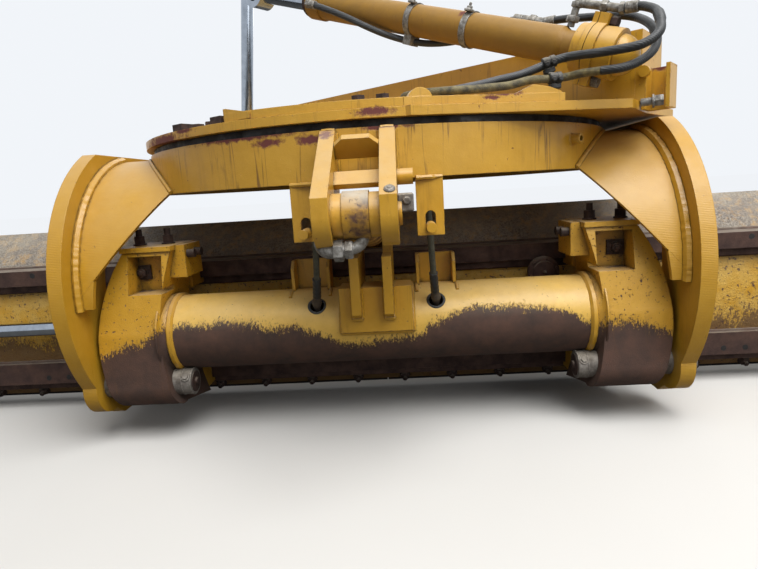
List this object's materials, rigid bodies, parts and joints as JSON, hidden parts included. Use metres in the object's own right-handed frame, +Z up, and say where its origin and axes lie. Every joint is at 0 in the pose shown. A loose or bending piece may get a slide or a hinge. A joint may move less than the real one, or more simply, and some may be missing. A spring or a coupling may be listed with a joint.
{
  "type": "motor grader blade assembly",
  "caption": "Drawbar, toothed turning circle, tilting beam and side-shifting curved moldboard with their hydraulic cylinders.",
  "frame": {"origin": "centre of the drawbar's front ball, where the machine's nose holds the whole group", "axes": "+X along the blade to the right seen from behind it, +Y the way the blade pushes, +Z up along the circle's axis"},
  "size_m": [3.658, 2.8623, 2.8194],
  "materials": {
    "yellow_paint": "construction yellow enamel, worn and dusty",
    "worn_yellow": "yellow enamel worn through to rust",
    "bare_steel": "bare rusty steel",
    "blade_steel": "scoured and dusty wear steel",
    "rail_steel": "rusty rolled rail",
    "edge_steel": "dark hardened wear steel",
    "rod_chrome": "polished hard chrome",
    "shoe_bronze": "greasy wear bronze",
    "motor_black": "black enamel",
    "hose_rubber": "black braided hose rubber, dusty",
    "zinc_steel": "zinc plated fittings and bands",
    "grey_iron": "dirty grey casting"
  },
  "bodies": {
    "drawbar": {"drawbar_beams": "yellow_paint", "drawbar_nose": "yellow_paint", "yoke_plate": "yellow_paint", "yoke_rim": "yellow_paint", "cross_beam": "yellow_paint", "side_brackets": "yellow_paint", "circle_shoes": "grey_iron", "wear_strip": "motor_black", "shoe_bolts": "bare_steel", "ball_studs": "grey_iron", "drive_gearbox": "yellow_paint", "drive_motor": "motor_black", "shift_hoses": "hose_rubber", "hose_ports": "grey_iron"},
    "circle": {"circle_ring": "yellow_paint", "arm_left": "yellow_paint", "arm_right": "yellow_paint", "arm_web_left": "yellow_paint", "arm_web_right": "yellow_paint", "tip_clevis": "yellow_paint", "hose_brackets": "worn_yellow"},
    "pinion": {"pinion": "edge_steel"},
    "tilt_beam": {"beam_tube": "worn_yellow", "beam_end_left": "worn_yellow", "beam_end_right": "worn_yellow", "beam_lugs": "yellow_paint", "pivot_pins": "bare_steel", "end_studs": "bare_steel", "rail_shoes": "shoe_bronze", "hose_guides": "worn_yellow", "tilt_hoses": "hose_rubber", "side_barrel": "yellow_paint"},
    "moldboard": {"moldboard": "blade_steel", "upper_rail": "rail_steel", "lower_rail": "rail_steel", "cutting_edges": "edge_steel", "end_bits": "edge_steel", "side_rod": "rod_chrome"},
    "tip_barrel": {"tip_barrel": "worn_yellow"},
    "tip_rod": {"tip_rod": "rod_chrome"},
    "lift_rod": {"lift_rod": "rod_chrome"},
    "lift_barrel": {"lift_barrel": "yellow_paint"},
    "centre_barrel": {"centre_cap": "yellow_paint", "centre_barrel": "yellow_paint", "barrel_fittings": "zinc_steel", "barrel_hose": "hose_rubber"},
    "centre_rod": {"centre_rod": "rod_chrome"}
  },
  "joints": [
    {"name": "circle_turn", "type": "hinge", "parent": "drawbar", "child": "circle", "pos_m": [-1.41602, -1.81242, -0.16], "axis": [0, 0, 1], "continuous": true},
    {"name": "pinion_spin", "type": "hinge", "parent": "drawbar", "child": "pinion", "pos_m": [-1.07741, -1.37902, -0.126], "axis": [0, 0, 1], "continuous": true},
    {"name": "blade_tip", "type": "hinge", "parent": "circle", "child": "tilt_beam", "pos_m": [-1.41602, -2.35742, -0.76], "axis": [-1, 0, 0], "range_deg": [-4, 28]},
    {"name": "blade_side_shift", "type": "slide", "parent": "tilt_beam", "child": "moldboard", "axis": [1, 0, 0], "range_m": [-0.5, 0.65]},
    {"name": "tip_barrel_swing", "type": "hinge", "parent": "circle", "child": "tip_barrel", "pos_m": [-1.42302, -2.73242, -0.29], "axis": [-1, 0, 0], "range_deg": [-1, 6]},
    {"name": "tip_rod_slide", "type": "slide", "parent": "tip_barrel", "child": "tip_rod", "axis": [0, 0.9877, -0.1564], "range_m": [-0.03, 0.2]},
    {"name": "lift_swing", "type": "hinge", "parent": "drawbar", "child": "lift_rod", "pos_m": [-2.08883, -1.09642, 0.014], "axis": [0.788, -0.6157, 0], "range_deg": [-10, 10]},
    {"name": "lift_stroke", "type": "slide", "parent": "lift_rod", "child": "lift_barrel", "axis": [0.1314, -0.1027, 0.986], "range_m": [-0.6, 0.1]},
    {"name": "shift_swing", "type": "hinge", "parent": "drawbar", "child": "centre_barrel", "pos_m": [-0.8062, -2.41577, 0.052], "axis": [0.6157, 0.788, 0], "range_deg": [-10, 14]},
    {"name": "shift_stroke", "type": "slide", "parent": "centre_barrel", "child": "centre_rod", "axis": [-0.7414, 0.5793, 0.3387], "range_m": [-0.25, 0.3]}
  ],
  "couplings": [
    {"joint": "pinion_spin", "follows": "circle_turn", "ratio": 6},
    {"joint": "tip_barrel_swing", "follows": "blade_tip", "ratio": 0.19},
    {"joint": "tip_rod_slide", "follows": "blade_tip", "m_per_rad": 0.3915}
  ]
}
